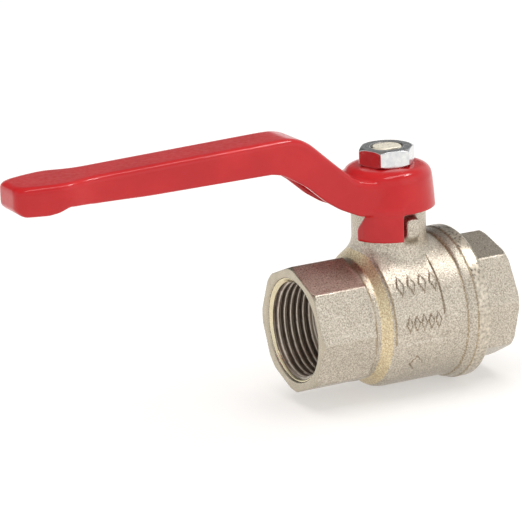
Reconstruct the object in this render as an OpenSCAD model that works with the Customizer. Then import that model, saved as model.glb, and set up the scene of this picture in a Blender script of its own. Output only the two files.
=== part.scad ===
// Quarter-turn ball valve with two female threaded ports and a channel-section lever.
// The inlet face lies on X = 0, water flows along +X and the stem stands along +Z.
// The valve is drawn open, with the lever lying back over the inlet, towards -X.

/* [Ports] */
// Length over the two port faces
body_length = 58; // [56:0.5:62]
// Bore of the port threads at their crests
thread_bore_d = 24.12; // [23.8:0.02:24.4]
// Depth of each port, from its face to the shoulder behind the thread
port_depth = 13; // [12:0.5:13.5]
// Mouth of the chamfer that leads into each thread
port_mouth_d = 27.5; // [26:0.1:28]
// Clear bore through the open valve
bore_d = 20; // [18:0.5:20]

/* [Body] */
// Width across the flats of both octagonal ends
octagon_af = 31; // [30.5:0.25:32]
// How far the inlet octagon is turned from having a corner on top
inlet_turn = 0; // [0:0.5:22]
// How far the end cap has been screwed round from having a corner on top
outlet_turn = 6; // [0:0.5:22]
// Length of the inlet octagon
inlet_octagon_length = 15.5; // [15:0.1:16]
// Outer diameter of the ball chamber
chamber_d = 36.8; // [36:0.1:38]
// Diameter of the collar that takes the end cap
collar_d = 40; // [39:0.25:41]
// Distance from the stem's axis to the collar's end face
collar_end = 18.3; // [18.2:0.1:18.6]
// Diameter of the stem boss
boss_d = 19.2; // [18.6:0.1:19.4]
// Height of the boss over the flow axis
boss_top = 30; // [29.8:0.1:30.2]

/* [Ball and seats] */
// Diameter of the ball
ball_d = 30; // [29.6:0.1:30.2]
// Running gap between the ball and its seats
seat_gap = 0.08; // [0.04:0.01:0.1]
// Outer diameter of the seat rings
seat_d = 28; // [27.4:0.1:28.2]
// Width of the stem slot in the ball
slot_w = 6.2; // [5.8:0.1:6.6]

/* [Stem] */
// Diameter of the stem in its packing
stem_d = 10; // [9.6:0.1:10.2]
// Thread diameter of the stem's top end
stem_thread_d = 7.9; // [7.6:0.1:8]
// Distance across the two flats that drive the lever
stem_flats = 6; // [5.6:0.1:6.4]
// Height of the stem's top end over the flow axis
stem_top = 44; // [43:0.1:44.2]

/* [Lever] */
// Distance from the stem's axis to the lever's tip
lever_reach = 104.5; // [95:0.5:120]
// Height of the arm's top face at its bend, over the flow axis
arm_high = 51.4; // [50:0.2:52.6]
// Width of the lever's arm
arm_w = 13; // [12:0.25:14]
// Width of the paddle near the tip
paddle_w = 17.2; // [15:0.2:18]
// Wall thickness of the lever
lever_wall = 2.2; // [1.8:0.1:2.4]
// Outer diameter of the lever's hub at its lower rim
hub_d = 24.8; // [24.4:0.1:25.4]
// Height of the hub's lower rim over the flow axis
hub_rim = 28.5; // [28.2:0.1:28.8]
// Height of the hub's top over the flow axis
hub_top = 39.4; // [39:0.1:39.8]
// Angle that the lever turns between its stops
lever_travel = 90; // [80:1:92]
// Angle that the stop tab spans round the stem
tab_span = 61; // [50:1:70]
// Direction of the stop tab's leading edge, from +X towards -Y
tab_lead = 100.8; // [98:0.2:104]

/* [Nut] */
// Width of the lever nut across its flats
nut_af = 13; // [12:0.5:14]
// Height of the lever nut
nut_h = 4.5; // [4.2:0.1:4.8]
// Direction of one of the nut's corners, from +X towards +Y
nut_turn = -11; // [-30:1:30]

/* [Hidden] */

$fn = 96;
fit = 0.05;                             // gap left round turned and threaded fits
cut = 1;                                // how far a cutting shape runs past a face
half_length = body_length / 2;
octagon_r = octagon_af / 2 / cos(22.5);
corner_chamfer = 0.9;                   // turned off the corners of both octagonal faces
bore_r = bore_d / 2;
ball_r = ball_d / 2;
thread_start = half_length - port_depth;

// Seats: flat back against a shoulder, hollow front against the ball
seat_back = 12.8;
seat_front = 9.35;
pocket_r = seat_d / 2 + fit;

// Ball chamber and the threaded joint between the body and the end cap
chamber_bore_r = ball_r + 0.4;
joint_r = 16.95;
joint_start = 9;
cap_groove = [16.2, 18];
cap_seal_r = 0.88;
ring_gap = 0.03;                        // gap between a sealing ring and its groove
cap_groove_r = joint_r - 2 * (cap_seal_r + ring_gap) - 0.05;

// Outside of the chamber and the collar: each point is [radius, distance past the stem's axis]
chamber_r = chamber_d / 2;
collar_r = collar_d / 2;
collar_start = 14.3;
edge = 0.5;                             // turned off the collar's edges
neck_r = octagon_af / 2 + 0.1;
neck_start = inlet_octagon_length - half_length - 0.1;
neck_end = -11.4;
chamber_profile = [
    [neck_r, neck_start], [neck_r, neck_end], [neck_r + 1.2, neck_end + 1.2], [chamber_r - 0.9, -9.3],
    [chamber_r - 0.25, -8.2], [chamber_r, -6.6], [chamber_r + 0.2, 12],
    [collar_r - edge, collar_start - 0.7], [collar_r, collar_start],
    [collar_r, collar_end - edge], [collar_r - edge, collar_end]];

// Blend between the boss and the chamber
boss_blend = 2.2;
boss_blend_z = [16.5, 20];

// Bore of the boss, from the ball upwards
flange_r = 6.8;
flange_gap = 0.2;
flange_bottom = 15.6;
flange_h = 2;
washer_top = 18.6;
packing_bottom = 22;
packing_r = 7;
packing_ring_h = 1.7;
gland_bottom = 25.6;
gland_r = 7.95;
gland_head_top = 33.4;
gland_af = 15;

// Stem
tang_bottom = 12.1;
tang_length = 11;
slot_floor = 11.8;
stem_shoulder = 36.4;
o_ring_z = 20.3;
o_ring_groove_w = 2;
o_ring_wire_r = 0.68;
o_ring_r = stem_d / 2 + fit - ring_gap - o_ring_wire_r;

// Stop lugs: opposite each other, so that the tab meets one when open and one when shut
stop_gap = 1.5;
lug_span = 180 - lever_travel - tab_span - 2 * stop_gap;
lug_r = 12.1;
lug_z = [19.5, 27.3];
tab_bottom = 21.5;
tab_full_h = 3.2;                       // height up to which the tab keeps its full width
tab_slope = 13;                         // angle lost from the tab's trailing edge at its top

// Lever, seen from the side: each point is [distance from the stem, height]
tip = -lever_reach;
root = -8;                              // where the arm's faces end inside the hub
paddle_top = arm_high - 1.2;
paddle_bottom = arm_high - 8.7;
arm_bottom = arm_high - 8.3;
arm_foot = hub_top - 2.4;               // where the arm's top face runs into the hub
arm_top = [
    [tip, paddle_top - 2.4], [tip + 0.7, paddle_top - 1], [tip + 2.4, paddle_top - 0.3],
    [tip + 20, paddle_top], [-34, arm_high], [-30, arm_high], [-27.4, arm_high - 0.8],
    [-24.8, arm_high - 2.3], [-14.5, arm_foot + 2], [-12, arm_foot + 0.4], [root, arm_foot]];
arm_underside = [
    [root, hub_rim], [-12, hub_rim], [-17, hub_rim + 2.5], [-21, hub_rim + 5.1],
    [-26.6, arm_bottom - 4.6], [-33, arm_bottom - 0.7], [-36, arm_bottom], [tip + 20.5, arm_bottom + 0.4],
    [tip + 13.2, arm_bottom + 0.9], [tip + 10, paddle_bottom + 0.6], [tip + 7, paddle_bottom],
    [tip + 3.5, paddle_bottom], [tip, paddle_bottom + 0.7]];
// Lever, seen from above: half of the outline, from the hub to the tip
arm_half = arm_w / 2;
paddle_half = paddle_w / 2;
flare = 3.5;                            // how much each side of the arm widens into the hub
arm_plan = [
    [-4, arm_half + flare], [-9, arm_half + 0.6 * flare], [-13.5, arm_half + 0.2 * flare],
    [-18, arm_half], [tip + 21.5, arm_half], [tip + 18, arm_half + 0.7], [tip + 14, paddle_half - 0.1],
    [tip + 11.5, paddle_half], [tip + 6.5, paddle_half - 1], [tip + 2.1, paddle_half - 2.6],
    [tip + 0.8, paddle_half - 3.4], [tip, paddle_half - 5]];
hub_edge = 2.6;
hub_top_r = hub_d / 2 - 1;
cup_r = 10.05;

// Lever nut
nut_chamfer = 0.9;

// Stands its children's +Z along the flow axis, at the stem's place
module on_flow_axis() {
    translate([half_length, 0, 0]) rotate([0, 90, 0]) children();
}

// Keeps its children upright, at the stem's place
module on_stem_axis() {
    translate([half_length, 0, 0]) children();
}

// Solid or plain hole between two heights
module rod(r, z0, z1) {
    translate([0, 0, z0]) cylinder(r = r, h = z1 - z0);
}

// Octagonal bar between two heights, turned by an angle
module octagon(z0, z1, turn) {
    translate([0, 0, z0]) rotate([0, 0, -turn]) cylinder(r = octagon_r, h = z1 - z0, $fn = 8);
}

// Cone between two heights
module cone(r0, z0, r1, z1) {
    translate([0, 0, z0]) cylinder(r1 = r0, r2 = r1, h = z1 - z0);
}

// Hexagonal prism between two heights
module hexagon(af, z0, z1) {
    translate([0, 0, z0]) cylinder(r = af / 2 / cos(30), h = z1 - z0, $fn = 6);
}

// Part of a ring: from one radius to another, round from one angle through a span
module sector(r0, r1, z0, z1, start, span) {
    rotate([0, 0, start]) rotate_extrude(angle = span)
        translate([r0, z0]) square([r1 - r0, z1 - z0]);
}

// Octagonal end with the corners of its face turned off, its face at a height of half_length
module octagon_end(length, turn) {
    intersection() {
        octagon(half_length - length, half_length, turn);
        rotate_extrude() polygon([
            [0, half_length - length - cut], [octagon_r + cut, half_length - length - cut],
            [octagon_r + cut, half_length - corner_chamfer - cut],
            [octagon_r - corner_chamfer, half_length], [0, half_length]]);
    }
}

// Everything that is cut from a port: mouth chamfer, thread bore and clear bore
module port_cut() {
    thread_bore_r = thread_bore_d / 2;
    mouth_depth = port_mouth_d / 2 - thread_bore_r;
    cone(thread_bore_r, half_length - mouth_depth, port_mouth_d / 2 + cut, half_length + cut);
    rod(thread_bore_r, thread_start, half_length);
    rod(bore_r, 0, thread_start + cut);
}

// Outside of the ball chamber and the collar, as turned round the flow axis
module chamber_outside() {
    rotate_extrude() polygon(concat([[0, neck_start]], chamber_profile, [[0, collar_end]]));
}

module body() {
    color("#b9ad98") difference() {
        union() {
            on_flow_axis() {
                mirror([0, 0, 1]) octagon_end(inlet_octagon_length, -inlet_turn);
                chamber_outside();
            }
            on_stem_axis() {
                rod(boss_d / 2, 0, boss_top);
                cone(boss_d / 2 + boss_blend, boss_blend_z[0], boss_d / 2, boss_blend_z[1]);
                for (turn = [0, 180])
                    rotate([0, 0, turn])
                        sector(boss_d / 2 - 1, lug_r, lug_z[0], lug_z[1], stop_gap - tab_lead, lug_span);
            }
        }
        on_flow_axis() {
            mirror([0, 0, 1]) port_cut();
            rod(pocket_r, -seat_back, 0);
            rod(chamber_bore_r, -seat_front + fit, joint_start + cut);
            rod(joint_r, joint_start, collar_end + cut);
        }
        on_stem_axis() {
            rod(flange_r + flange_gap, tang_bottom - cut, washer_top);
            rod(stem_d / 2 + fit, washer_top - cut, boss_top + cut);
            rod(packing_r, packing_bottom, boss_top + cut);
            rod(gland_r, gland_bottom, boss_top + cut);
        }
    }
}

module end_cap() {
    color("#b9ad98") on_flow_axis() difference() {
        union() {
            octagon_end(half_length - collar_end, outlet_turn);
            rod(joint_r - fit, joint_start + fit, collar_end);
        }
        port_cut();
        rod(pocket_r, joint_start - cut, seat_back);
        difference() {
            rod(joint_r + cut, cap_groove[0], cap_groove[1]);
            rod(cap_groove_r, cap_groove[0] - cut, cap_groove[1] + cut);
        }
    }
}

// Ring of round section lying in the XY plane
module o_ring(r, wire_r, z) {
    translate([0, 0, z]) rotate_extrude() translate([r, 0]) circle(r = wire_r);
}

module cap_seal_ring() {
    color("#26262a") on_flow_axis()
        o_ring(joint_r - ring_gap - cap_seal_r, cap_seal_r, (cap_groove[0] + cap_groove[1]) / 2);
}

module ball() {
    color("#c9cdd0") difference() {
        on_stem_axis() sphere(r = ball_r);
        on_flow_axis() rod(bore_r, -ball_r - cut, ball_r + cut);
        on_stem_axis() translate([-slot_w / 2, -ball_r, slot_floor]) cube([slot_w, ball_d, ball_r]);
    }
}

// Seat ring on the +Z side of the ball
module seat() {
    difference() {
        rod(seat_d / 2, seat_front, seat_back);
        sphere(r = ball_r + seat_gap);
        rod(bore_r + fit, 0, seat_back + cut);
    }
}

module seat_inlet() {
    color("#f2f1ec") on_flow_axis() mirror([0, 0, 1]) seat();
}

module seat_outlet() {
    color("#f2f1ec") on_flow_axis() seat();
}

module stem() {
    color("#c8b273") on_stem_axis() difference() {
        union() {
            intersection() {
                translate([-slot_w / 2 + fit, -tang_length / 2, tang_bottom])
                    cube([slot_w - 2 * fit, tang_length, flange_bottom - tang_bottom + cut]);
                rod(flange_r, tang_bottom, flange_bottom + cut);
            }
            rod(flange_r, flange_bottom, flange_bottom + flange_h);
            rod(stem_d / 2, flange_bottom, stem_shoulder);
            intersection() {
                rod(stem_thread_d / 2, stem_shoulder - cut, stem_top);
                translate([-stem_thread_d, -stem_flats / 2, stem_shoulder - cut])
                    cube([2 * stem_thread_d, stem_flats, stem_top]);
            }
        }
        difference() {
            rod(stem_d, o_ring_z - o_ring_groove_w / 2, o_ring_z + o_ring_groove_w / 2);
            rod(o_ring_r - o_ring_wire_r - ring_gap, o_ring_z - o_ring_groove_w, o_ring_z + o_ring_groove_w);
        }
    }
}

// Flat ring round the stem
module stem_ring(outer_r, z0, z1) {
    on_stem_axis() difference() {
        rod(outer_r, z0, z1);
        rod(stem_d / 2 + fit, z0 - cut, z1 + cut);
    }
}

module stem_thrust_washer() {
    color("#f2f1ec") stem_ring(flange_r + flange_gap / 2, flange_bottom + flange_h + fit, washer_top);
}

module stem_o_ring() {
    color("#26262a") on_stem_axis() o_ring(o_ring_r, o_ring_wire_r, o_ring_z);
}

module packing_ring_lower() {
    color("#f2f1ec") stem_ring(packing_r - fit, packing_bottom, packing_bottom + packing_ring_h);
}

module packing_ring_upper() {
    base = packing_bottom + packing_ring_h;
    color("#f2f1ec") stem_ring(packing_r - fit, base, base + packing_ring_h);
}

module gland_nut() {
    gland_foot = packing_bottom + 2 * packing_ring_h;
    color("#c8b273") on_stem_axis() difference() {
        union() {
            rod(packing_r - fit, gland_foot, gland_bottom + cut);
            rod(gland_r - fit, gland_bottom + fit, boss_top);
            hexagon(gland_af, boss_top, gland_head_top);
        }
        rod(stem_d / 2 + fit, gland_foot - cut, gland_head_top + cut);
    }
}

// Cup-shaped hub, round its own axis, with a rounded top edge
module hub() {
    edge_z = hub_top - hub_edge;
    rotate_extrude() polygon(concat(
        [[0, hub_rim], [hub_d / 2, hub_rim]],
        [for (a = [0:15:90]) [hub_top_r - hub_edge * (1 - cos(a)), edge_z + hub_edge * sin(a)]],
        [[0, hub_top]]));
}

// Bar with an outline seen from the side, [distance from the stem, height], and one seen from above
module bar(side, half_plan) {
    other_half = [for (i = [len(half_plan) - 1:-1:0]) [half_plan[i][0], -half_plan[i][1]]];
    intersection() {
        rotate([90, 0, 0]) linear_extrude(height = 2 * paddle_w, center = true) polygon(side);
        linear_extrude(height = 2 * hub_top) polygon(concat(half_plan, other_half));
    }
}

// Space inside the arm: open below, and a wall's thickness inside its top, sides and tip
module channel() {
    inner_tip = tip + lever_wall;
    slope_shift = 0.4 * lever_wall;     // keeps the wall's thickness where the arm slopes down
    bar(concat([for (p = arm_top) [max(p[0] - slope_shift, inner_tip), p[1] - lever_wall]],
               [[root, 0], [inner_tip, 0]]),
        [for (p = arm_plan) [max(p[0], inner_tip), p[1] - lever_wall]]);
}

// Tab that hangs from the hub's rim, its trailing edge cut back at the top
module stop_tab() {
    trail = -tab_lead - tab_span;
    difference() {
        sector(cup_r - cut, hub_d / 2, tab_bottom, hub_rim + cut, trail, tab_span);
        rotate([0, 0, trail]) rotate([90, 0, 90])
            linear_extrude(height = 2 * hub_d, center = true) polygon([
                [-cut, tab_bottom + tab_full_h], [0, tab_bottom + tab_full_h],
                [hub_d / 2 * sin(tab_slope), hub_rim], [-cut, hub_rim]]);
    }
}

module lever() {
    color("#c8232b") on_stem_axis() difference() {
        union() {
            hub();
            bar(concat(arm_top, arm_underside), arm_plan);
            stop_tab();
        }
        rod(cup_r, tab_bottom - cut, stem_shoulder);
        difference() {
            channel();
            rod(cup_r + lever_wall, 0, hub_top);
        }
        intersection() {
            rod(stem_thread_d / 2 + fit, stem_shoulder - cut, hub_top + cut);
            translate([-stem_thread_d, -stem_flats / 2 - fit, stem_shoulder - cut])
                cube([2 * stem_thread_d, stem_flats + 2 * fit, hub_top]);
        }
    }
}

module lever_nut() {
    nut_r = nut_af / 2 / cos(30);
    nut_top = hub_top + nut_h;
    drop = nut_chamfer * tan(30);
    color("#c4c7ca") on_stem_axis() difference() {
        intersection() {
            rotate([0, 0, nut_turn]) hexagon(nut_af, hub_top, nut_top);
            rotate_extrude() polygon([
                [0, hub_top], [nut_r - nut_chamfer, hub_top], [nut_r, hub_top + drop],
                [nut_r, nut_top - drop], [nut_r - nut_chamfer, nut_top], [0, nut_top]]);
        }
        rod(stem_thread_d / 2 + fit, hub_top - cut, nut_top + cut);
    }
}

body();
end_cap();
cap_seal_ring();
ball();
seat_inlet();
seat_outlet();
stem();
stem_thrust_washer();
stem_o_ring();
packing_ring_lower();
packing_ring_upper();
gland_nut();
lever();
lever_nut();
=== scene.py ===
"""Quarter-turn ball valve: forged nickel-plated body and end cap, red channel lever, zinc nut."""
import math

import bpy
import numpy as np
from mathutils import Matrix, Vector


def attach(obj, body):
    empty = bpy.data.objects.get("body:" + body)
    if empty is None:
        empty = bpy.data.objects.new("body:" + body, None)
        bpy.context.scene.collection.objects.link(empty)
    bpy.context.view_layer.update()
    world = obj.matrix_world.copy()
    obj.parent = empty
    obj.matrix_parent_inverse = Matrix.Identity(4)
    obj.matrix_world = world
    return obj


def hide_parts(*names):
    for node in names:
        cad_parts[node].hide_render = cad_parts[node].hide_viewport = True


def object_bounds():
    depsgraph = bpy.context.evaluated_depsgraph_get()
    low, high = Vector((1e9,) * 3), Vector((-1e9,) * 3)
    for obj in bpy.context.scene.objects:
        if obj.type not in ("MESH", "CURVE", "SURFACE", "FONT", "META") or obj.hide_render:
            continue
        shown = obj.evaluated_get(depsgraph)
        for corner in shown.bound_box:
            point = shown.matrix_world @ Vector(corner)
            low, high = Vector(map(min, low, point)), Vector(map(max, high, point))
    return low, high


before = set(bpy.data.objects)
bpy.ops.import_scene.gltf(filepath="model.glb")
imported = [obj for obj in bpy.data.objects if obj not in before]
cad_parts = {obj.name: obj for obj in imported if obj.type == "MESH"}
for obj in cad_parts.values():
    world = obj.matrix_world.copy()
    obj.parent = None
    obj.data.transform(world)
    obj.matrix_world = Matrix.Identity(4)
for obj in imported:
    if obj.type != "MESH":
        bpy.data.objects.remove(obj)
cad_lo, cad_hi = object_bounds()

# Shapes are in millimetres. x runs along the flow and z up the stem, both from where the two axes cross;
# r is the distance from the flow's axis, and stem_r the distance from the stem's.
MM = 0.001
DEGREE = math.pi / 180
HALF_LENGTH = 29.0     # from the stem's axis to each port's face


# ---------------------------------------------------------------- distance fields, negative inside a shape
def soft_min(a, b, k):
    """The smaller of two distances, rounded over a width k where they cross."""
    h = np.maximum(k - np.abs(a - b), 0) / k
    return np.minimum(a, b) - h * h * k * 0.25


def soft_max(a, b, k):
    return -soft_min(-a, -b, k)


def rod(r, along, radius, start, end=math.inf):
    """Distance to a cylinder, from the distance r to its axis and the place along it."""
    return np.maximum(r - radius, np.maximum(start - along, along - end))


def smooth_curve(points, sigma, step=0.05):
    """A smooth curve through a rough profile, and its slope, as two functions of one coordinate."""
    margin = 8
    xs = np.arange(points[0][0] - margin, points[-1][0] + margin, step)
    ys = np.interp(xs, [p[0] for p in points], [p[1] for p in points])
    reach = int(4 * sigma / step)
    kernel = np.exp(-0.5 * (np.arange(-reach, reach + 1) * step / sigma) ** 2)
    kernel /= kernel.sum()
    ys = np.convolve(np.pad(ys, reach, mode="edge"), kernel, mode="valid")
    slope = np.gradient(ys, step)
    return (lambda x: np.interp(x, xs, ys)), (lambda x: np.interp(x, xs, slope))


# ---------------------------------------------------------------- meshes from distance fields
CORNERS = [(a, b, c) for a in (0, 1) for b in (0, 1) for c in (0, 1)]
SLAB = 24              # grid planes worked out at a time
PROBE = 0.01           # half the distance over which a field's slope is taken
FURTHEST = 0.6         # how far a vertex may move onto the surface, as a share of the grid's step


def sample(field, axes):
    """The field's values on a grid."""
    x, y, z = axes
    grid = np.empty([len(a) for a in axes], np.float32)
    for i in range(0, len(x), SLAB):
        grid[i:i + SLAB] = field(x[i:i + SLAB, None, None], y[None, :, None], z[None, None, :])
    return grid


def crossed_cells(grid):
    """The cells that the surface crosses, and the mean place of the crossings on each cell's edges."""
    inside = grid < 0
    n = grid.shape
    count = np.zeros([k - 1 for k in n], np.int8)
    for a, b, c in CORNERS:
        count += inside[a:n[0] - 1 + a, b:n[1] - 1 + b, c:n[2] - 1 + c]
    cells = np.argwhere((count > 0) & (count < len(CORNERS)))
    total, hits = np.zeros((len(cells), 3)), np.zeros(len(cells))
    for near in CORNERS:
        for axis in range(3):
            if near[axis]:
                continue
            far = list(near)
            far[axis] = 1
            at_near = grid[tuple((cells + near).T)].astype(float)
            at_far = grid[tuple((cells + far).T)].astype(float)
            crossed = (at_near < 0) != (at_far < 0)
            share = np.where(crossed, at_near / np.where(crossed, at_near - at_far, 1), 0)
            place = np.array(near, float) + share[:, None] * (np.array(far) - np.array(near))
            total[crossed] += place[crossed]
            hits[crossed] += 1
    return cells, cells + total / hits[:, None]


def cell_quads(inside, cells):
    """One quad round each grid edge that the surface crosses, facing outward."""
    n = inside.shape
    index = np.full([k - 1 for k in n], -1, np.int64)
    index[tuple(cells.T)] = np.arange(len(cells))
    unit = np.eye(3, dtype=int)
    quads = []
    for axis in range(3):
        u, v = (axis + 1) % 3, (axis + 2) % 3
        here, there = [slice(None)] * 3, [slice(None)] * 3
        here[axis], there[axis] = slice(0, -1), slice(1, None)
        p = np.argwhere(inside[tuple(here)] != inside[tuple(there)])
        p = p[(p[:, u] > 0) & (p[:, v] > 0) & (p[:, u] < n[u] - 1) & (p[:, v] < n[v] - 1)]
        ring = [index[tuple((p - s).T)] for s in (unit[u] + unit[v], unit[v], 0 * unit[u], unit[u])]
        quad = np.stack(ring, 1)
        outward = inside[tuple(p.T)]
        quad[~outward] = quad[~outward][:, ::-1]
        quads.append(quad)
    return np.concatenate(quads)


def settle(field, verts, limit):
    """Moves points onto the field's surface, each by no more than the limit along any axis."""
    start = verts.copy()
    for _ in range(4):
        x, y, z = verts.T
        slope = np.stack([field(x + PROBE, y, z) - field(x - PROBE, y, z),
                          field(x, y + PROBE, z) - field(x, y - PROBE, z),
                          field(x, y, z + PROBE) - field(x, y, z - PROBE)], 1) / (2 * PROBE)
        steepness = np.maximum((slope * slope).sum(1), 0.2)
        verts = verts - (0.9 * field(x, y, z) / steepness)[:, None] * slope
        verts = start + np.clip(verts - start, -limit, limit)
    return verts


def surface_net(field, lo, hi, step):
    """Points and quads of a field's surface inside a box."""
    lo = np.array(lo, float)
    n = np.ceil((np.array(hi, float) - lo) / step).astype(int) + 1
    grid = sample(field, [lo[i] + step * np.arange(n[i]) for i in range(3)])
    cells, places = crossed_cells(grid)
    return settle(field, lo + step * places, FURTHEST * step), cell_quads(grid < 0, cells)


def mesh_piece(name, verts, faces, body, nodes=(), slot=None, materials=()):
    """An object from points and faces; it rides on a body and may replace nodes of the frame."""
    verts = (np.asarray(verts, float) + (HALF_LENGTH, 0, 0)) * MM
    sides = faces.shape[1]
    mesh = bpy.data.meshes.new(name)
    mesh.vertices.add(len(verts))
    mesh.vertices.foreach_set("co", verts.astype(np.float32).ravel())
    mesh.loops.add(faces.size)
    mesh.loops.foreach_set("vertex_index", faces.astype(np.int32).ravel())
    mesh.polygons.add(len(faces))
    mesh.polygons.foreach_set("loop_start", np.arange(0, faces.size, sides, dtype=np.int32))
    mesh.polygons.foreach_set("use_smooth", np.ones(len(faces), bool))
    mesh.update(calc_edges=True)
    mesh.validate()
    for material in materials:
        mesh.materials.append(material)
    ob = bpy.data.objects.new(name, mesh)
    bpy.context.scene.collection.objects.link(ob)
    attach(ob, body)
    if nodes:
        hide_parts(*nodes)
    return ob


def face_values(ob, what):
    """One vector for each face of a piece: its center or its normal."""
    values = np.empty(len(ob.data.polygons) * 3)
    ob.data.polygons.foreach_get(what, values)
    return values.reshape(-1, 3)


def face_centres(ob):
    return face_values(ob, "center") / MM - (HALF_LENGTH, 0, 0)


def choose_materials(ob, index):
    ob.data.polygons.foreach_set("material_index", index.astype(np.int32))


# ---------------------------------------------------------------- materials
class Look:
    """A Principled material with procedural colour, roughness and relief."""

    def __init__(self, name, colour, metallic=0.0, roughness=0.5):
        self.material = bpy.data.materials.new(name)
        self.material.use_nodes = True
        self.tree = self.material.node_tree
        self.shader = self.tree.nodes["Principled BSDF"]
        self.fixed(Base_Color=(*colour, 1), Metallic=metallic, Roughness=roughness)
        self.material.diffuse_color = (*colour, 1)
        self.coords = self.tree.nodes.new("ShaderNodeTexCoord").outputs["Object"]

    def noise(self, size_mm, detail=2.0, rough=0.5):
        node = self.tree.nodes.new("ShaderNodeTexNoise")
        node.inputs["Scale"].default_value = 1 / (size_mm * MM)
        node.inputs["Detail"].default_value = detail
        node.inputs["Roughness"].default_value = rough
        self.tree.links.new(self.coords, node.inputs["Vector"])
        return node.outputs["Fac"]

    def ramp(self, factor, start, first, end, last):
        """From the first colour, up to the start, to the last colour, from the end on."""
        node = self.tree.nodes.new("ShaderNodeValToRGB")
        for element, place, colour in zip(node.color_ramp.elements, (start, end), (first, last)):
            element.position = place
            element.color = (*colour, 1)
        self.tree.links.new(factor, node.inputs["Fac"])
        return node.outputs["Color"]

    def spread(self, factor, lo, hi):
        """The middle of a noise, stretched to run from lo to hi."""
        node = self.tree.nodes.new("ShaderNodeMapRange")
        for name, value in (("From Min", 0.3), ("From Max", 0.7), ("To Min", lo), ("To Max", hi)):
            node.inputs[name].default_value = value
        self.tree.links.new(factor, node.inputs["Value"])
        return node.outputs["Result"]

    def mixed(self, share, first, second):
        """Two colours, with a share of the second."""
        node = self.tree.nodes.new("ShaderNodeMix")
        node.data_type = "RGBA"
        factor, a, b = node.inputs[0], node.inputs[6], node.inputs[7]
        factor.default_value = share
        self.tree.links.new(first, a)
        self.tree.links.new(second, b)
        return node.outputs[2]

    def relief(self, height, depth_mm, strength):
        """Bumps on top of those there already."""
        node = self.tree.nodes.new("ShaderNodeBump")
        node.inputs["Strength"].default_value = strength
        node.inputs["Distance"].default_value = depth_mm * MM
        self.tree.links.new(height, node.inputs["Height"])
        normal = self.shader.inputs["Normal"]
        if normal.is_linked:
            self.tree.links.new(normal.links[0].from_socket, node.inputs["Normal"])
        self.tree.links.new(node.outputs["Normal"], normal)

    def feed(self, name, source):
        self.tree.links.new(source, self.shader.inputs[name])

    def fixed(self, **values):
        for name, value in values.items():
            self.shader.inputs[name.replace("_", " ")].default_value = value


def make_cast_nickel(name, tint=(1.0, 1.0, 1.0)):
    """Shot-blasted nickel plate; the tint makes the darker copies that are painted shade, and the warmer,
    brighter copy that is a painted reflection on the shoulder.
    """
    brightest = 0.98

    def tinted(colour):
        return tuple(min(a * b, brightest) for a, b in zip(colour, tint))

    look = Look(name, tinted((0.52, 0.46, 0.38)), 1.0, 0.36)
    grain, patch = look.noise(0.38, 2.5, 0.75), look.noise(6.0, 3.0)
    tone = look.ramp(patch, 0.3, tinted((0.44, 0.385, 0.31)), 0.7, tinted((0.51, 0.45, 0.37)))
    speck = look.ramp(grain, 0.38, tinted((0.20, 0.17, 0.13)), 0.62, tinted((0.92, 0.86, 0.75)))
    look.feed("Base Color", look.mixed(0.45, tone, speck))
    look.feed("Roughness", look.spread(look.noise(0.5, 3.0), 0.26, 0.42))
    look.relief(look.noise(1.8, 2.0), 0.05, 0.4)
    look.relief(grain, 0.11, 1.0)
    return look.material


def make_turned_nickel(name, base, rough, patch_mm=3.0, wear=0.12, dents_mm=0.012):
    """Nickel plate on a turned surface, darker by the wear in patches."""
    look = Look(name, base, 1.0, rough)
    look.feed("Roughness", look.spread(look.noise(0.8, 3.0), rough - 0.05, rough + 0.12))
    worn = tuple(c * (1 - wear) for c in base)
    look.feed("Base Color", look.ramp(look.noise(patch_mm, 4.0), 0.35, worn, 0.65, base))
    look.relief(look.noise(0.35, 2.0), 0.012, 0.5)
    look.relief(look.noise(1.4, 3.0), dents_mm, 0.5)
    return look.material


def make_thread_nickel(name, light, dark):
    """Nickel plate on a thread, in light and dark patches."""
    look = Look(name, light, 0.85, 0.34)
    look.feed("Roughness", look.spread(look.noise(0.9, 2.0), 0.30, 0.44))
    look.feed("Base Color", look.ramp(look.noise(2.0, 3.0), 0.3, dark, 0.7, light))
    return look.material


def make_red_paint():
    look = Look("red_paint", (0.50, 0.010, 0.013), 0.0, 0.34)
    look.fixed(Coat_Weight=0.75, Coat_Roughness=0.06, Coat_IOR=1.45, Specular_IOR_Level=0.1)
    deep, bright = (0.46, 0.008, 0.011), (0.53, 0.012, 0.015)
    look.feed("Base Color", look.ramp(look.noise(9.0, 3.0), 0.3, deep, 0.7, bright))
    look.feed("Roughness", look.spread(look.noise(1.2, 3.0), 0.28, 0.42))
    look.relief(look.noise(2.6, 2.0), 0.07, 0.5)
    look.relief(look.noise(0.7, 2.0), 0.008, 0.4)
    return look.material


def make_zinc():
    look = Look("bright_zinc", (0.78, 0.79, 0.81), 1.0, 0.16)
    look.feed("Roughness", look.spread(look.noise(0.7, 4.0), 0.10, 0.26))
    dull, bright = (0.60, 0.62, 0.64), (0.76, 0.77, 0.76)
    look.feed("Base Color", look.ramp(look.noise(1.5, 3.0), 0.3, dull, 0.7, bright))
    look.relief(look.noise(0.5, 3.0), 0.01, 0.5)
    return look.material


def make_plain(name, base, rough, metallic=0.0):
    """One even colour, a little darker in patches, with a fine grain."""
    look = Look(name, base, metallic, rough)
    look.feed("Base Color", look.ramp(look.noise(2.5, 3.0), 0.3, tuple(c * 0.86 for c in base), 0.7, base))
    look.feed("Roughness", look.spread(look.noise(0.8, 3.0), max(rough - 0.06, 0.04), rough + 0.08))
    look.relief(look.noise(0.4, 2.0), 0.01, 0.4)
    return look.material


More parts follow.
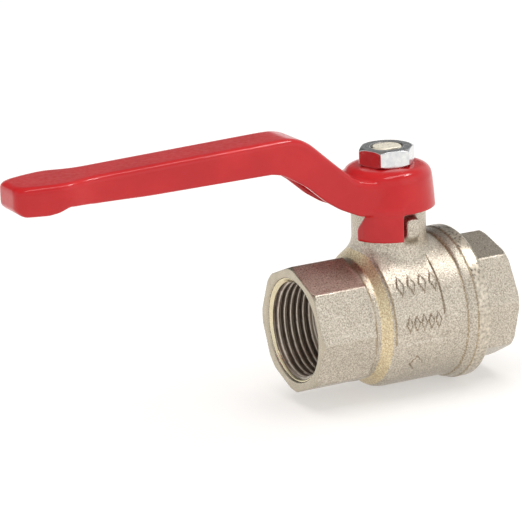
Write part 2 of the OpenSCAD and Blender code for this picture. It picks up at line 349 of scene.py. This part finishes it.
CAST = make_cast_nickel("cast_nickel")
# Painted shade: a darker copy of the cast nickel for the edges of the raised marks and the step at the
# panel's right side.
RECESS_SHADE = make_cast_nickel("cast_recess_shade", (0.56, 0.50, 0.43))
# Painted reflection: a warmer, brighter copy of the cast nickel for the shoulder's slope.
SHOULDER_REFLECTION = make_cast_nickel("cast_shoulder_reflection", (1.42, 1.22, 0.93))
# Painted shade: a darker copy of the cast nickel for the collar's grooves and the panel's left step.
CREASE_SHADE = make_cast_nickel("cast_crease_shade", (0.76, 0.69, 0.58))
FACE = make_turned_nickel("turned_face", (0.50, 0.45, 0.35), 0.24)
MOUTH = make_turned_nickel("turned_mouth", (0.78, 0.70, 0.48), 0.20)
COLLAR = make_turned_nickel("turned_collar", (0.68, 0.61, 0.50), 0.28, 0.8, wear=0.45, dents_mm=0.035)
THREAD = make_thread_nickel("thread_nickel", (0.66, 0.60, 0.52), (0.50, 0.44, 0.37))
# Painted shade: a darker copy of the thread's nickel for the thread's roots deep in the port.
ROOT_SHADE = make_thread_nickel("thread_root_shade", (0.34, 0.28, 0.23), (0.24, 0.19, 0.15))
RED = make_red_paint()
ZINC = make_zinc()
STEM = make_plain("stem_brass", (0.90, 0.84, 0.69), 0.30, metallic=0.30)
# Painted shade: a near-black colour for the threads inside the nut's bore, which lie in shadow.
BORE_SHADE = make_plain("nut_bore_shade", (0.16, 0.15, 0.13), 0.34, metallic=0.8)
CHROME = make_plain("ball_chrome", (0.80, 0.81, 0.82), 0.08, metallic=1.0)
PTFE = make_plain("ptfe", (0.86, 0.85, 0.82), 0.45)
RUBBER = make_plain("rubber", (0.025, 0.025, 0.028), 0.6)


# ---------------------------------------------------------------- octagonal ends and ports
FLAT = 15.5                                    # half the width across the flats
CORNER_R = FLAT / math.cos(22.5 * DEGREE)
TURNED_OFF = 0.75                              # taken off the octagon's corners at the face
END_TURN = {-1: 0, 1: 6}                       # how far each octagon is turned about the flow, in degrees
MOUTH_R = 13.75                                # the port's mouth at its face
BORE_R = 10.0                                  # the clear bore
SEAT_POCKET_R, SEAT_POCKET_X = 14.05, 12.8
DIAGONAL = 0.7071                              # the cosine of 45 degrees


def octagon(y, z, corner_degrees):
    """An octagon about the flow's axis, with one corner this far from the top."""
    eighth = math.pi / 4
    from_flat = np.mod(np.arctan2(y, z) - corner_degrees * DEGREE, eighth) - eighth / 2
    r = np.hypot(y, z)
    from_next_flat = from_flat - np.sign(from_flat) * eighth
    return soft_max(r * np.cos(from_flat), r * np.cos(from_next_flat), 0.25) - FLAT


def octagonal_end(x, y, z, side, inner, blend):
    """One end, from its face in to the inner place, with its corners turned off at the face."""
    out = x * side
    r = np.hypot(y, z)
    d = octagon(y, z, END_TURN[side])
    d = soft_max(d, (r - (CORNER_R - TURNED_OFF) + (out - HALF_LENGTH)) * DIAGONAL, 0.15)
    d = soft_max(d, out - HALF_LENGTH, 0.12)
    return soft_max(d, inner - out, blend)


def port(x, y, z, side):
    """What is cut out for a port: the thread's room, the mouth's cone and the clear bore."""
    out = x * side
    r = np.hypot(y, z)
    cone = (r - MOUTH_R - (out - HALF_LENGTH)) * DIAGONAL
    hole = np.minimum(rod(r, out, 13.34, 15.9), np.maximum(cone, 28.0 - out))
    return np.minimum(hole, rod(r, out, BORE_R, 0))


# ---------------------------------------------------------------- body
SHOULDER = (-11.6, -9.3)                       # the painted warm reflection beside the inlet's octagon, along x
PANEL_X = (-8.8, 5.5)                          # the sunk panel, along the flow
PANEL_S = (-3.3, 19.4)                         # the sunk panel, round the chamber
PANEL_R = 18.15
MARK_HEIGHT = 0.40
OUTLINE, OUTLINE_SLOPE = smooth_curve([        # the chamber's radius along x, up to the collar's end
    (-20, 15.6), (-11.4, 15.6), (-10.2, 16.7), (-9.3, 17.5), (-8.2, 18.15), (-6.6, 18.4), (9.0, 18.55),
    (11.9, 18.75), (12.3, 19.25), (13.6, 19.6), (14.35, 19.7), (14.6, 20.0), (17.8, 20.0), (18.3, 19.5),
    (20, 19.5)], 0.16)


def around(y, z):
    """Distance round the chamber, up from the level of the flow's axis on the front."""
    return 18.3 * np.arctan2(z, -y)


def lozenge(x, s, middle, tallness, slope, size):
    """Distance to an upright lozenge; its size is the distance from its middle to its sides."""
    return (np.abs(x - middle[0]) * tallness + np.abs(s - middle[1])) / slope - size


def marks(x, s):
    """Generic raised lozenges, two rows and one below: height over the panel, 0 to 1."""
    d = np.full(np.broadcast(x, s).shape, 9.0)
    for column in range(4):
        d = np.minimum(d, lozenge(x, s, (-5.5 + 3.2 * column, 12.0), 2.3, 2.5, 0.95))
    for column in range(5):
        d = np.minimum(d, lozenge(x, s, (-4.9 + 2.1 * column, 1.8), 2.2, 2.42, 0.72))
    d = np.minimum(d, lozenge(x, s, (-2.4, -9.5), 1.3, 1.64, 1.4))
    return np.clip(0.5 - d / 0.5, 0, 1)


def chamber(x, y, z):
    """The round part of the body, from the inlet's octagon to the collar's end."""
    def rise(t, width):
        return np.clip(t / width + 0.5, 0, 1)

    r, s = np.hypot(y, z), around(y, z)
    panel = rise(x - PANEL_X[0], 0.3) * rise(PANEL_X[1] - x, 0.3)
    panel = panel * rise(s - PANEL_S[0], 0.5) * rise(PANEL_S[1] - s, 1.0)
    marked = np.minimum(panel + (s < -5), 1)
    radius = OUTLINE(x) * (1 - panel) + PANEL_R * panel + MARK_HEIGHT * marked * marks(x, s)
    d = (r - radius) / np.sqrt(1 + OUTLINE_SLOPE(x) ** 2)
    return soft_max(soft_max(d, -14.0 - x, 0.3), x - 18.3, 0.25)


def lug(x, y, z, azimuth):
    """A cast stop on the boss, sloping in at its foot."""
    a = azimuth * DEGREE
    outward, across = x * math.cos(a) + y * math.sin(a), -x * math.sin(a) + y * math.cos(a)
    d = soft_max(soft_max(np.abs(across) - 2.1, outward - 12.0, 1.5), 6 - outward, 0.2)
    return soft_max(soft_max(d, z - 27.3, 1.6), 20.9 - z + 0.5 * (outward - 10), 1.6)


def body_field(x, y, z):
    r, stem_r = np.hypot(y, z), np.hypot(x, y)
    boss = soft_max(soft_max(stem_r - 9.6, z - 30, 0.7), -z, 0.5)
    lugs = soft_min(lug(x, y, z, -86.3), lug(x, y, z, 93.7), 0.5)
    d = soft_min(octagonal_end(x, y, z, -1, 13.5, 0.35), chamber(x, y, z), 0.9)
    d = soft_min(soft_min(d, boss, 3.4), lugs, 1.5)
    for hole in (port(x, y, z, -1),
                 rod(r, x, SEAT_POCKET_R, -SEAT_POCKET_X, 0),
                 rod(r, x, 15.4, -9.3, 10),            # the ball's room
                 rod(r, x, 16.95, 9),                  # the end cap's joint
                 rod(stem_r, z, 7.0, 12, 18.6),        # the stem's flange
                 rod(stem_r, z, 5.05, 18),             # the stem's shaft
                 rod(stem_r, z, 7.0, 22),              # the packing
                 rod(stem_r, z, 7.95, 25.6)):          # the gland nut
        d = np.maximum(d, -hole)
    return d


def cap_field(x, y, z):
    r = np.hypot(y, z)
    d = np.minimum(octagonal_end(x, y, z, 1, 18.3, 0.2), rod(r, x, 16.9, 9.05, 19))
    d = np.maximum(d, -port(x, y, z, 1))
    return np.maximum(d, -np.maximum(r - SEAT_POCKET_R, x - SEAT_POCKET_X))


BODY_MATERIALS = (CAST, FACE, COLLAR, RECESS_SHADE, SHOULDER_REFLECTION, CREASE_SHADE)
CAP_MATERIALS = (CAST, FACE, COLLAR)


def close_to(values, place, reach):
    return np.abs(values - place) < reach


def finish_turned(ob):
    """The turned finish on a port's face, on its corners and on the collar: material numbers by face."""
    centre, normal = face_centres(ob), face_values(ob, "normal")
    r = np.hypot(centre[:, 1], centre[:, 2])
    out = np.abs(centre[:, 0])
    index = np.full(len(centre), BODY_MATERIALS.index(CAST))
    face = (out > 28.85) & (np.abs(normal[:, 0]) > 0.9)
    corners = (out > 27.9) & (np.abs(normal[:, 0]) > 0.45)
    index[face | corners] = BODY_MATERIALS.index(FACE)
    index[(centre[:, 0] > 14.4) & (centre[:, 0] < 18.5) & (r > 19.3)] = BODY_MATERIALS.index(COLLAR)
    return index


def finish_cast(ob, index):
    """Painted shade round the marks, at the panel's sides and in the collar's grooves, and a painted warm
    reflection on the shoulder.
    """
    x, y, z = face_centres(ob).T
    r, s = np.hypot(y, z), around(y, z)
    raised = marks(x, s)
    on_panel = (r > 17.0) & (r < 18.9)
    tall = (s > -3.4) & (s < 19.5)
    mark_edge_shade = (raised > 0.04) & (raised < 0.7)
    right = tall & close_to(x, 5.45, 0.16) & (s > 3)
    left_step_shade = tall & close_to(x, -8.75, 0.2)
    # Painted shade round the raised marks and along the panel's right step.
    index[on_panel & (mark_edge_shade | right)] = BODY_MATERIALS.index(RECESS_SHADE)
    # Painted shade along the panel's left step.
    index[on_panel & left_step_shade] = BODY_MATERIALS.index(CREASE_SHADE)
    # Painted shade in the collar's two grooves.
    crease_shade = close_to(x, 11.925, 0.175) | close_to(x, 14.475, 0.175)
    index[(r > 18) & crease_shade] = BODY_MATERIALS.index(CREASE_SHADE)
    # Painted reflection on the shoulder's slope.
    shoulder = (x > SHOULDER[0]) & (x < SHOULDER[1]) & (r > 15.5) & (r < 18.2)
    index[shoulder] = BODY_MATERIALS.index(SHOULDER_REFLECTION)
    return index


CAST_STEP = 0.32       # grid step for the castings
body = mesh_piece(
    "forged_body", *surface_net(body_field, (-29.5, -20.5, -20.5), (18.8, 20.5, 30.5), CAST_STEP),
    "valve_body", ("body",), "nickel_plate", BODY_MATERIALS)
choose_materials(body, finish_cast(body, finish_turned(body)))
cap = mesh_piece(
    "screwed_end_cap", *surface_net(cap_field, (8.5, -17.5, -17.5), (29.5, 17.5, 17.5), CAST_STEP),
    "valve_body", ("end_cap",), "nickel_plate", CAP_MATERIALS)
choose_materials(cap, finish_turned(cap))


# ---------------------------------------------------------------- pipe threads
PITCH = 1.814
CREST_R = 12.06
THREAD_DEPTH = 1.162
THREAD_END = 12.7      # where the thread has run out, in from the face
PORT_END = 13.0


def thread_piece(name, side):
    """Inside of a port: mouth cone, helical pipe thread, run-out and shoulder."""
    rows_per_turn, facets = 15, 192
    depth = np.concatenate([[0.55], np.arange(0.60, 12.9, PITCH / rows_per_turn), [12.92, 12.96, PORT_END]])
    angle = np.linspace(0, 2 * math.pi, facets, endpoint=False)
    d, a = np.meshgrid(depth, angle, indexing="ij")
    wave = np.clip(np.cos(2 * math.pi * (d / PITCH) + side * a) * 1.12, -1, 1) * 0.5 + 0.5
    run_out = np.clip((THREAD_END - d) / 1.6, 0, 1)
    r = np.maximum(CREST_R + THREAD_DEPTH * wave * run_out, MOUTH_R - d)
    r[0] = 13.5
    rows = [np.stack([side * (HALF_LENGTH - d), r * np.cos(a), r * np.sin(a)], 2)]
    shoulder = side * (HALF_LENGTH - PORT_END)
    for ring_r, further in ((11.4, 0), (10.7, 0), (BORE_R, 0), (BORE_R - 0.01, 0.3)):
        x = np.full(facets, shoulder - further * side)
        rows.append(np.stack([x, ring_r * np.cos(angle), ring_r * np.sin(angle)], 1)[None])
    verts = np.concatenate(rows)
    row, this = np.meshgrid(np.arange(len(verts) - 1) * facets, np.arange(facets), indexing="ij")
    following = (this + 1) % facets
    quads = np.stack([row + this, row + following, row + facets + following, row + facets + this], 2)
    quads = quads.reshape(-1, 4)
    if side > 0:
        quads = quads[:, ::-1]
    materials = (THREAD, ROOT_SHADE, MOUTH)
    ob = mesh_piece(name, verts.reshape(-1, 3), quads, "valve_body", (), "nickel_plate", materials)
    centre = face_centres(ob)
    out, r = np.abs(centre[:, 0]), np.hypot(centre[:, 1], centre[:, 2])
    # Painted shade on the thread's roots.
    shaded_roots = (r > 12.35) & (out < 27.2)
    index = np.where(shaded_roots, materials.index(ROOT_SHADE), materials.index(THREAD))
    index[out + 0.3 > HALF_LENGTH - MOUTH_R + r] = materials.index(MOUTH)
    choose_materials(ob, index)


thread_piece("inlet_thread", -1)
thread_piece("outlet_thread", 1)


# ---------------------------------------------------------------- lever
NOSE_X = -104.5
WALL = 2.2
TOP, TOP_SLOPE = smooth_curve([                # the upper edge's height along x
    (NOSE_X, 49.9), (-100, 50.05), (-84.5, 50.2), (-34, 51.4), (-30.5, 51.35), (-27.4, 50.6), (-24.8, 49.1),
    (-14.5, 39.8), (-12.3, 38.1), (-8, 37.3), (0, 37.0)], 0.8)
LOW, LOW_SLOPE = smooth_curve([                # the lower edge's height along x
    (NOSE_X, 44.3), (-103.4, 43.2), (-102.4, 42.8), (-96.8, 42.75), (-94.5, 43.15), (-92.6, 43.9),
    (-91.4, 44.3), (-90.6, 44.1), (-88, 43.9), (-84, 43.5), (-70, 43.1), (-36, 43.1), (-33, 42.4),
    (-26.6, 38.5), (-21, 33.6), (-17, 31.0), (-12, 28.7), (0, 28.7)], 0.45)
WIDE, WIDE_SLOPE = smooth_curve([              # half the width along x
    (NOSE_X, 5.9), (-102, 6.5), (-98, 7.7), (-93, 8.6), (-90.5, 8.4), (-86.5, 7.0), (-83, 6.5), (-18, 6.5),
    (-13.5, 7.2), (-9, 8.6), (-4, 10.0), (0, 10.0)], 1.1)
HUB_R = 12.35                                  # at the hub's lower edge
HUB_BOTTOM = 28.5
HUB_TOP = 39.4
HUB_TAPER = 0.115                              # radius lost over a millimetre of height
CUP_R, CUP_TOP = 10.05, 36.4
TAB_INNER_R, TAB_OUTER_R = 9.6, 12.25
TAB_BOTTOM = 21.5
TAB_LEAD, TAB_TRAIL = -100.8 * DEGREE, -161.8 * DEGREE
FLAT_GAP = 3.05                                # from the stem's axis to the hole's flats


def arm_and_hollow(x, y, z, stem_r):
    """The lever's arm as a solid, and the open channel in its underside."""
    up = (z - TOP(x)) / np.sqrt(1 + TOP_SLOPE(x) ** 2)
    down = (LOW(x) - z) / np.sqrt(1 + LOW_SLOPE(x) ** 2)
    side = (np.abs(y) - WIDE(x)) / np.sqrt(1 + WIDE_SLOPE(x) ** 2)
    nose = NOSE_X - x
    arm = soft_max(soft_max(soft_max(side, nose, 2.8), up, 1.9), down, 0.8)
    arm = soft_max(arm, x + 3, 0.5)
    hollow = soft_max(soft_max(side + WALL, nose + WALL, 2.0), up + WALL, 1.6)
    return arm, soft_max(hollow, 12.1 - stem_r, 1.2)


def tab_field(x, y, z, stem_r):
    """The stop tab under the hub, with its trailing edge leaning back."""
    past_lead = -x * math.sin(TAB_LEAD) + y * math.cos(TAB_LEAD)
    past_trail = -x * math.sin(TAB_TRAIL) + y * math.cos(TAB_TRAIL)
    rise, run = 2.79, 3.8
    lean = ((z - 24.7) * rise - past_trail * run) / 4.714
    d = np.maximum(stem_r - TAB_OUTER_R, TAB_INNER_R - stem_r)
    d = soft_max(soft_max(d, past_lead, 0.4), -past_trail, 0.4)
    d = soft_max(d, lean, 0.5)
    d = soft_max(soft_max(d, TAB_BOTTOM - z, 0.4), z - 30, 0.2)
    return soft_max(d, x * 0.5 + y, 0.2)


def lever_field(x, y, z):
    stem_r = np.hypot(x, y)
    arm, hollow = arm_and_hollow(x, y, z, stem_r)
    side = (stem_r - HUB_R + (z - HUB_BOTTOM) * HUB_TAPER) * 0.993
    crown = z - HUB_TOP + 0.05 * np.maximum(stem_r - 6.8, 0)
    hub = soft_max(soft_max(side, crown, 2.9), HUB_BOTTOM - z, 0.6)
    cup = soft_max(stem_r - CUP_R, z - CUP_TOP, 0.8)
    d = soft_min(soft_min(arm, hub, 0.45), tab_field(x, y, z, stem_r), 0.5)
    d = soft_max(soft_max(d, -hollow, 0.5), -cup, 0.4)
    stem_hole = np.maximum(np.maximum(stem_r - 4.0, np.abs(y) - FLAT_GAP), 35 - z)
    return np.maximum(d, -stem_hole)


mesh_piece("channel_lever", *surface_net(lever_field, (-105.2, -13.2, 20.8), (13.2, 13.2, 52.2), 0.34),
           "handle", ("lever",), "lever_paint", (RED,))


# ---------------------------------------------------------------- nut and stem
NUT_BOTTOM, NUT_TOP = 39.42, 43.9
NUT_FLAT = 6.5                                 # half the width across the flats
NUT_TURN = 11 * DEGREE
STEM_TOP = 44
STEM_PITCH = 1.25


def helix(x, y, z, inner, depth):
    """Radius of the stem's thread at a place round it and along it."""
    phase = 2 * math.pi * z / STEM_PITCH - np.arctan2(y, x)
    return inner + depth * (0.5 + 0.5 * np.cos(phase))


def nut_field(x, y, z):
    stem_r = np.hypot(x, y)
    sixth = math.pi / 3
    from_flat = np.mod(np.arctan2(y, x) + NUT_TURN, sixth) - sixth / 2
    d = soft_max(stem_r * np.cos(from_flat) - NUT_FLAT, np.maximum(z - NUT_TOP, NUT_BOTTOM - z), 0.12)
    for end, way in ((NUT_TOP, 1), (NUT_BOTTOM, -1)):
        chamfer = (stem_r - 6.55) * 0.5 + (z - end) * way * 0.866
        d = soft_max(d, chamfer, 0.12)
    hole = stem_r - helix(x, y, z, 3.5, 0.6)
    mouths = (stem_r - 4.35) * 0.7 + (np.abs(z - 41.66) - 2.24) * -0.7
    return np.maximum(d, -np.minimum(hole, mouths))


def stem_field(x, y, z):
    stem_r = np.hypot(x, y)
    tang = np.maximum(np.maximum(np.abs(x) - 3.05, np.abs(y) - 5.5), np.maximum(12.1 - z, z - 17))
    tang = np.maximum(tang, stem_r - 6.8)
    flange = soft_max(stem_r - 6.8, np.abs(z - 16.55) - 0.95, 0.2)
    shaft = np.maximum(soft_max(stem_r - 5.0, z - 36.4, 0.3), 15.6 - z)
    groove = np.maximum(np.abs(z - 20.3) - 1.0, 3.62 - stem_r)
    end = stem_r - helix(x, y, z, 3.4, 0.52)
    end = soft_max(end, (stem_r - 3.55) * 0.7 + (z - STEM_TOP) * 0.7, 0.1)
    end = np.maximum(np.maximum(end, np.abs(y) - 3.0), np.maximum(z - STEM_TOP, 35 - z))
    d = np.minimum(np.minimum(tang, flange), np.maximum(shaft, -groove))
    return np.minimum(d, end)


nut = mesh_piece("lever_hex_nut", *surface_net(nut_field, (-8.2, -8.2, 39.0), (8.2, 8.2, 44.4), 0.14),
                 "handle", ("lever_nut",), "nut_steel", (ZINC, BORE_SHADE))
nut_centres = face_centres(nut)
# Painted shade on the faces of the nut's bore.
choose_materials(nut, np.hypot(nut_centres[:, 0], nut_centres[:, 1]) < 4.3)
mesh_piece("threaded_stem", *surface_net(stem_field, (-7.4, -7.4, 11.6), (7.4, 7.4, 44.4), 0.18),
           "handle", ("stem",), "stem_brass", (STEM,))


# ---------------------------------------------------------------- hidden pieces, in their CAD shape
for node, material in (("ball", CHROME), ("seat_inlet", PTFE), ("seat_outlet", PTFE),
                       ("stem_thrust_washer", PTFE), ("packing_ring_lower", PTFE),
                       ("packing_ring_upper", PTFE), ("stem_o_ring", RUBBER), ("cap_seal_ring", RUBBER),
                       ("gland_nut", STEM)):
    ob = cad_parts[node]
    ob.data.materials.clear()
    ob.data.materials.append(material)


# ---------------------------------------------------------------- floor, light, camera
def make_floor():
    """A pale floor just under the valve, with a little light of its own so that it reads as white."""
    look = Look("pale_floor", (0.60, 0.59, 0.575), 0.0, 0.75)
    darker, lighter = (0.595, 0.585, 0.57), (0.605, 0.595, 0.58)
    look.feed("Base Color", look.ramp(look.noise(60.0, 2.0), 0.3, darker, 0.7, lighter))
    look.fixed(Emission_Color=(1.0, 0.99, 0.98, 1), Emission_Strength=0.42)
    half, z = 6.0, float(cad_lo.z) - 0.0001
    corners = [(-half, -half, z), (half, -half, z), (half, half, z), (-half, half, z)]
    mesh = bpy.data.meshes.new("floor")
    mesh.from_pydata(corners, [], [(0, 1, 2, 3)])
    mesh.materials.append(look.material)
    ob = bpy.data.objects.new("floor", mesh)
    bpy.context.scene.collection.objects.link(ob)


def area_light(name, towards, distance, size, power, glossy=True, diffuse=True):
    """A rectangular light that faces the valve from a direction."""
    data = bpy.data.lights.new(name, "AREA")
    data.shape = "RECTANGLE"
    data.energy = power
    data.size, data.size_y = size
    ob = bpy.data.objects.new(name, data)
    bpy.context.scene.collection.objects.link(ob)
    way = Vector(towards).normalized()
    ob.location = Vector((0.0, 0.0, 0.02)) + way * distance
    ob.rotation_euler = (-way).to_track_quat("-Z", "Y").to_euler()
    ob.visible_glossy = glossy
    ob.visible_diffuse = diffuse


def make_world():
    """White studio walls, with a dark ceiling and a dark wall behind that starts over the horizon."""
    world = bpy.data.worlds.new("studio")
    bpy.context.scene.world = world
    world.use_nodes = True
    nodes, links = world.node_tree.nodes, world.node_tree.links
    background = nodes["Background"]
    direction = nodes.new("ShaderNodeSeparateXYZ")
    links.new(nodes.new("ShaderNodeTexCoord").outputs["Generated"], direction.inputs[0])

    ceiling = nodes.new("ShaderNodeValToRGB")
    links.new(direction.outputs["Z"], ceiling.inputs["Fac"])
    white, dark = ceiling.color_ramp.elements
    white.position, white.color = 0.42, (1.0, 1.0, 1.0, 1)
    dark.position, dark.color = 0.80, (0.30, 0.27, 0.25, 1)
    links.new(ceiling.outputs["Color"], background.inputs["Color"])

    def rise(axis, start, end, high):
        node = nodes.new("ShaderNodeMapRange")
        node.interpolation_type = "SMOOTHSTEP"
        for name, value in (("From Min", start), ("From Max", end), ("To Min", 0), ("To Max", high)):
            node.inputs[name].default_value = value
        links.new(direction.outputs[axis], node.inputs["Value"])
        return node.outputs["Result"]

    def combine(operation, first, second):
        node = nodes.new("ShaderNodeMath")
        node.operation = operation
        for given, socket in ((first, node.inputs[0]), (second, node.inputs[1])):
            if isinstance(given, float):
                socket.default_value = given
            else:
                links.new(given, socket)
        return node.outputs[0]

    wall = combine("MULTIPLY", rise("Y", 0.40, 0.85, 0.84), rise("Z", 0.10, 0.24, 1))
    links.new(combine("SUBTRACT", 1.0, wall), background.inputs["Strength"])


def make_camera():
    """The photo's view: direction, roll, distance and aim, in degrees and metres."""
    azimuth, elevation, roll = 27.36562 * DEGREE, 16.23601 * DEGREE, -2.23330 * DEGREE
    distance = 0.7485
    target = Vector((HALF_LENGTH - 37.07869, 0, 19.72546)) * MM
    back = Vector((-math.sin(azimuth) * math.cos(elevation), -math.cos(azimuth) * math.cos(elevation),
                   math.sin(elevation)))
    level = Vector((math.cos(azimuth), -math.sin(azimuth), 0))
    upright = back.cross(level)
    right = level * math.cos(roll) + upright * math.sin(roll)
    up = upright * math.cos(roll) - level * math.sin(roll)
    data = bpy.data.cameras.new("camera")
    data.sensor_width = 36.0
    data.lens = 206.06
    data.clip_start, data.clip_end = 0.05, 20
    ob = bpy.data.objects.new("camera", data)
    bpy.context.scene.collection.objects.link(ob)
    place = target + back * distance
    ob.matrix_world = Matrix(((right.x, up.x, back.x, place.x), (right.y, up.y, back.y, place.y),
                              (right.z, up.z, back.z, place.z), (0, 0, 0, 1)))
    bpy.context.scene.camera = ob


make_floor()
make_world()
area_light("overhead_fill", (0.0, 0.0, 1.0), 1.2, (1.6, 1.6), 17, glossy=False)
area_light("front_softbox", (0.50, -0.80, 0.36), 1.0, (0.8, 0.8), 0.8)
area_light("top_strip", (0.14, -0.28, 0.95), 1.0, (1.2, 0.22), 3.7, diffuse=False)
area_light("edge_light", (0.47, -0.26, 0.845), 1.0, (0.28, 0.09), 1.7, diffuse=False)
make_camera()
bpy.context.scene.view_settings.view_transform = "Standard"
